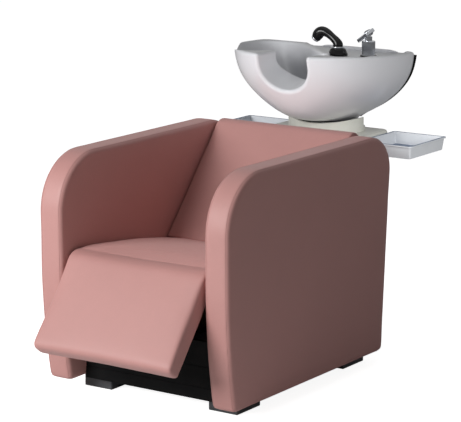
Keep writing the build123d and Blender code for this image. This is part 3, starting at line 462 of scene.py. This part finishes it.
def start_form(name, node, voxel, inset, lean, rounds):
    """Even closed mesh of a solid, softened and drawn in; lean is how far the piece stands turned."""
    mesh = frame["nodes"][node].data.copy()
    mesh.name = name
    mesh.materials.clear()
    upright = Matrix.Rotation(math.radians(lean), 4, "X")
    mesh.transform(upright)
    piece = new_piece(name, mesh)
    remesh = piece.modifiers.new("even", "REMESH")
    remesh.mode = "VOXEL"
    remesh.voxel_size = voxel
    add_smoothing(piece, "soften", rounds)
    shrink = piece.modifiers.new("draw_in", "DISPLACE")
    shrink.mid_level = 0.0
    shrink.strength = -inset
    apply_modifiers(piece)
    piece.data.transform(upright.inverted())
    return piece


def spread_moves(mesh, moves, rounds):
    """Evens out how far neighbouring points move, so that the swelling has no puckers."""
    ends = numpy.empty(len(mesh.edges) * 2, dtype=numpy.int64)
    mesh.edges.foreach_get("vertices", ends)
    first, second = ends.reshape(-1, 2).T
    count = numpy.bincount(ends, minlength=len(moves)).reshape(-1, 1)
    for _ in range(rounds):
        total = numpy.zeros_like(moves)
        for axis in range(3):
            total[:, axis] += numpy.bincount(first, moves[second, axis], len(moves))
            total[:, axis] += numpy.bincount(second, moves[first, axis], len(moves))
        moves = moves * OWN_SHARE + total / count * NEIGHBOUR_SHARE
    return moves


def points_of(mesh):
    flat = numpy.empty(len(mesh.vertices) * 3)
    mesh.vertices.foreach_get("co", flat)
    return flat.reshape(-1, 3)


def stuff(piece, cap):
    """Cloth simulation that swells the cover, with a cap on how far a point may move."""
    before = points_of(piece.data)
    cloth = piece.modifiers.new("stuffing", "CLOTH")
    settings = cloth.settings
    settings.use_pressure = True
    settings.uniform_pressure_force = 4.0
    settings.quality = 4
    settings.mass = 0.3
    settings.tension_stiffness = 12
    settings.compression_stiffness = 12
    settings.shear_stiffness = 6
    settings.bending_stiffness = 8.0
    settings.effector_weights.gravity = 0.0
    cloth.collision_settings.use_collision = False
    cloth.collision_settings.use_self_collision = False
    scene = bpy.context.scene
    for number in range(1, STUFFING_FRAMES + 1):
        scene.frame_set(number)
    shown = piece.evaluated_get(bpy.context.evaluated_depsgraph_get())
    moves = points_of(shown.data) - before
    piece.modifiers.remove(cloth)
    scene.frame_set(1)
    length = numpy.linalg.norm(moves, axis=1, keepdims=True)
    moves *= numpy.minimum(1.0, cap / numpy.maximum(length, TINY))
    moves = spread_moves(piece.data, moves, EVENING_ROUNDS)
    piece.data.vertices.foreach_set("co", (before + moves).ravel())
    piece.data.update()


def shade_smooth(piece):
    for face in piece.data.polygons:
        face.use_smooth = True


def finish_form(piece):
    add_smoothing(piece, "settle", SOFTENING)
    finer = piece.modifiers.new("finer", "SUBSURF")
    finer.levels = 1
    finer.render_levels = 1
    apply_modifiers(piece)
    shade_smooth(piece)


def seam_points(piece, origin, normal):
    """Closed line where a plane cuts the cover, in order."""
    cut = bmesh.new()
    cut.from_mesh(piece.data)
    found = bmesh.ops.bisect_plane(
        cut, geom=cut.verts[:] + cut.edges[:] + cut.faces[:], plane_co=origin, plane_no=normal
    )
    edges = [part for part in found["geom_cut"] if isinstance(part, bmesh.types.BMEdge)]
    near = {}
    for edge in edges:
        for vertex in edge.verts:
            near.setdefault(vertex, []).append(edge.other_vert(vertex))
    loops = []
    seen = set()
    for first in near:
        if first in seen:
            continue
        line = [first]
        seen.add(first)
        here = first
        while True:
            onward = [vertex for vertex in near[here] if vertex not in seen]
            if not onward:
                break
            here = onward[0]
            seen.add(here)
            line.append(here)
        loops.append([vertex.co.copy() for vertex in line])
    cut.free()
    return max(loops, key=len)


def seam(name, piece, origin, normal, body):
    """Sewn edge seam: a thin raised line that lies on the cover."""
    points = seam_points(piece, origin, normal)[::SEAM_STRIDE]
    curve = bpy.data.curves.new(name, "CURVE")
    curve.dimensions = "3D"
    line = curve.splines.new("NURBS")
    line.points.add(len(points) - 1)
    for target, point in zip(line.points, points):
        target.co = (*point, 1.0)
    line.order_u = 3
    line.use_cyclic_u = True
    curve.bevel_depth = SEAM_RADIUS
    curve.bevel_resolution = 2
    stitch = bpy.data.objects.new(name, curve)
    bpy.context.scene.collection.objects.link(stitch)
    curve.materials.append(FINISHES["seam"])
    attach(stitch, body)


FINISHES["seam"] = leatherette("pink_seam", shade(PINK, 0.88), 1400.0)
SEAM_RADIUS = 0.0007
SEAM_STRIDE = 3


def dress_cover(piece, node, body):
    piece.data.materials.append(FINISHES["pink_leatherette"])
    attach(piece, body)
    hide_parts(node)
    covers[piece.name] = piece


def upholster(name, node, body, voxel, inset, lean, cap, rounds=SOFTENING):
    piece = start_form(name, node, voxel, inset, lean, rounds)
    stuff(piece, cap)
    finish_form(piece)
    dress_cover(piece, node, body)


def mirrored_cover(name, other, node, body):
    """The second arm's cover is the first one's, seen in a mirror."""
    mesh = covers[other].data.copy()
    mesh.name = name
    mesh.materials.clear()
    mesh.transform(Matrix.Scale(-1, 4, Vector((1, 0, 0))))
    mesh.flip_normals()
    dress_cover(new_piece(name, mesh), node, body)


covers = {}
upholster("right_arm_cover", "right_arm_pad", "chair", 0.006, 0.001, 0.0, 0.004)
mirrored_cover("left_arm_cover", "right_arm_cover", "left_arm_pad", "chair")
upholster("seat_cover", "seat_cushion", "chair", 0.0055, 0.001, 7.2, 0.006)
upholster("back_cover", "back_cushion", "chair", 0.0055, 0.001, 40.7, 0.006)
upholster("leg_rest_cover", "leg_rest_pad", "leg_rest", 0.005, 0.0002, 36.6, 0.005, rounds=14)


# The cover runs on over the hinge: a fold that lies on the seat's nose and on the roll

FOLD_FRONT = 0.040
FOLD_REAR = 0.118
FOLD_ROWS = 34
FOLD_COLUMNS = 60
FOLD_LIFT = 0.0009
FOLD_DIVE = 0.0016
FOLD_THICKNESS = 0.0025
FOLD_SIDE_ROOM = 0.009
FOLD_SOFTENING = 6
FOLD_EDGE_ROWS = 4


def top_of(trees, x, y, start):
    """Height of the highest cover under a point."""
    best = None
    for tree in trees:
        hit = tree.ray_cast(Vector((x, y, start)), Vector((0, 0, -1)))
        if hit[0] is not None and (best is None or hit[0].z > best):
            best = hit[0].z
    return best


def upper_hull(points):
    """Taut line over the points, as a stretched cover lies."""
    hull = []
    for point in points:
        while len(hull) > 1:
            (y0, z0), (y1, z1) = hull[-2:]
            if (z1 - z0) * (point[0] - y0) > (point[1] - z0) * (y1 - y0):
                break
            hull.pop()
        hull.append(point)
    return hull


def height_on(hull, y):
    for (y0, z0), (y1, z1) in zip(hull, hull[1:]):
        if y <= y1:
            return z0 + (z1 - z0) * (y - y0) / (y1 - y0)
    return hull[-1][1]


def seat_fold():
    seat_low, seat_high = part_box("seat_cushion")
    trees = []
    for name in ("seat_cover", "leg_rest_cover"):
        mesh = covers[name].data
        corners = [covers[name].matrix_world @ vertex.co for vertex in mesh.vertices]
        trees.append(BVHTree.FromPolygons(corners, [face.vertices[:] for face in mesh.polygons]))
    half = seat_high.x - FOLD_SIDE_ROOM
    start = seat_high.z + (seat_high.z - seat_low.z)
    step = (FOLD_REAR - FOLD_FRONT) / (FOLD_ROWS - 1)
    rows = [FOLD_FRONT - SHIFT_Y + step * row for row in range(FOLD_ROWS)]
    points = []
    for column in range(FOLD_COLUMNS):
        x = half * (2 * column / (FOLD_COLUMNS - 1) - 1)
        line = [(y, top_of(trees, x, y, start)) for y in rows]
        hull = upper_hull([point for point in line if point[1] is not None])
        for place, y in enumerate(rows):
            end = min(place, FOLD_ROWS - 1 - place)
            lift = FOLD_LIFT - FOLD_DIVE * max(0.0, 1 - end / FOLD_EDGE_ROWS)
            points.append((x, y, height_on(hull, y) + lift))
    faces = []
    for column in range(FOLD_COLUMNS - 1):
        for row in range(FOLD_ROWS - 1):
            first = column * FOLD_ROWS + row
            faces.append((first, first + FOLD_ROWS, first + FOLD_ROWS + 1, first + 1))
    mesh = bpy.data.meshes.new("seat_front_fold")
    mesh.from_pydata(points, [], faces)
    mesh.update()
    fold = new_piece("seat_front_fold", mesh)
    add_smoothing(fold, "soften", FOLD_SOFTENING)
    thick = fold.modifiers.new("cloth", "SOLIDIFY")
    thick.thickness = FOLD_THICKNESS
    thick.offset = -1.0
    apply_modifiers(fold)
    shade_smooth(fold)
    fold.data.materials.append(FINISHES["pink_leatherette"])
    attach(fold, "chair")


seat_fold()


SEAM_SHARES = {"inner": 0.12, "outer": 0.88}


def sew_arms():
    for side in ("left", "right"):
        low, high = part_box(side + "_arm_pad")
        for place, share in SEAM_SHARES.items():
            across = share if side == "right" else 1 - share
            x = low[0] + (high[0] - low[0]) * across
            name = side + "_arm_" + place + "_seam"
            seam(name, covers[side + "_arm_cover"], Vector((x, 0, 0)), Vector((1, 0, 0)), "chair")


sew_arms()


# Surroundings

def make_floor():
    mesh = bpy.data.meshes.new("floor")
    size = 30.0
    corners = [(-size, -size, 0.0), (size, -size, 0.0), (size, size, 0.0), (-size, size, 0.0)]
    mesh.from_pydata(corners, [], [(0, 1, 2, 3)])
    floor = new_piece("floor", mesh)
    material = bpy.data.materials.new("pale_floor")
    material.use_nodes = True
    tree = material.node_tree
    shader = tree.nodes["Principled BSDF"]
    shader.inputs["Base Color"].default_value = (0.86, 0.86, 0.86, 1.0)
    shader.inputs["Roughness"].default_value = 0.8
    glow = add(tree, "ShaderNodeEmission")
    glow.inputs["Color"].default_value = (1.0, 1.0, 1.0, 1.0)
    seen = add(tree, "ShaderNodeLightPath").outputs["Is Camera Ray"]
    tree.links.new(maths(tree, "MULTIPLY", seen, 0.9), glow.inputs["Strength"])
    both = add(tree, "ShaderNodeAddShader")
    tree.links.new(shader.outputs[0], both.inputs[0])
    tree.links.new(glow.outputs[0], both.inputs[1])
    tree.links.new(both.outputs[0], tree.nodes["Material Output"].inputs["Surface"])
    mesh.materials.append(material)


def make_world():
    world = bpy.data.worlds.new("room")
    bpy.context.scene.world = world
    world.use_nodes = True
    tree = world.node_tree
    light = tree.nodes["Background"]
    light.inputs["Color"].default_value = (1.0, 1.0, 1.0, 1.0)
    path = add(tree, "ShaderNodeLightPath").outputs
    seen = maths(tree, "MAXIMUM", path["Is Camera Ray"], path["Is Transmission Ray"])
    mirrored = maths(tree, "MULTIPLY", path["Is Glossy Ray"], 0.4)
    seen = maths(tree, "MAXIMUM", seen, mirrored)
    tree.links.new(spread(tree, seen, 0.0, 1.0, 0.11, 1.0), light.inputs["Strength"])


def lamp(name, place, aim, size, power, lit=None, mirrored=True, spreads=True):
    """Area lamp; lit holds the only pieces that it lights."""
    data = bpy.data.lights.new(name, "AREA")
    data.shape = "RECTANGLE"
    data.size, data.size_y = size
    data.energy = power
    light = bpy.data.objects.new(name, data)
    light.location = place
    light.rotation_euler = (Vector(aim) - Vector(place)).to_track_quat("-Z", "Y").to_euler()
    light.visible_glossy = mirrored
    light.visible_diffuse = spreads
    bpy.context.scene.collection.objects.link(light)
    if lit is not None:
        light.light_linking.receiver_collection = lit


def group_of(name, wanted):
    """Visible pieces that a lamp lights alone."""
    group = bpy.data.collections.new(name)
    for piece in bpy.context.scene.objects:
        if piece.type in {"MESH", "CURVE"} and wanted(piece.name):
            group.objects.link(piece)
    return group


UPPER = ("basin", "shower", "mixer", "waste", "saddle", "shoulder", "left_tray", "right_tray")
KEY_PLACE = (-1.7, -4.2, 2.3)
make_floor()
make_world()
upper = group_of("upper_pieces", lambda name: name.startswith(UPPER) and name != "basin_bowl")
bowl = group_of("bowl_alone", lambda name: name == "basin_bowl")
others = group_of("all_but_the_bowl", lambda name: name != "basin_bowl")
seat = group_of("seat_alone", lambda name: name in ("seat_cover", "seat_front_fold"))
lamp("key", KEY_PLACE, (0.0, 0.0, 0.5), (2.2, 2.2), 198, lit=others)
lamp("bowl_key", (-1.7, -4.2, 1.3), (0.0, 0.5, 0.9), (2.2, 2.2), 165, lit=bowl, mirrored=False)
lamp("bowl_fill", (2.8, -2.4, 1.0), (0.0, 0.5, 0.9), (1.6, 1.2), 60, lit=bowl, mirrored=False)
for number, x in enumerate((-2.1, -1.55)):
    place = (x, -3.4, 3.4)
    lamp("sparkle_" + str(number), place, (0.0, 0.4, 0.9), (0.22, 0.22), 12, lit=bowl, spreads=False)
lamp("top", (0.2, 0.4, 3.6), (0.0, 0.1, 0.5), (3.0, 2.4), 11, lit=others)
lamp("bowl_top", (-0.3, 0.2, 3.0), (0.0, 0.5, 0.9), (2.0, 2.0), 4, lit=bowl, mirrored=False)
lamp("seat_light", (0.0, -1.2, 2.6), (0.0, -0.2, 0.45), (1.2, 1.0), 14, lit=seat, mirrored=False)
lamp("fill", (3.6, -1.8, 1.6), (0.0, 0.0, 0.5), (2.5, 2.0), 3)
lamp("upper_fill", (2.6, -1.4, 1.7), (0.0, 0.5, 0.9), (1.6, 1.2), 75, lit=upper, mirrored=False)

bpy.context.scene.view_settings.view_transform = "Standard"
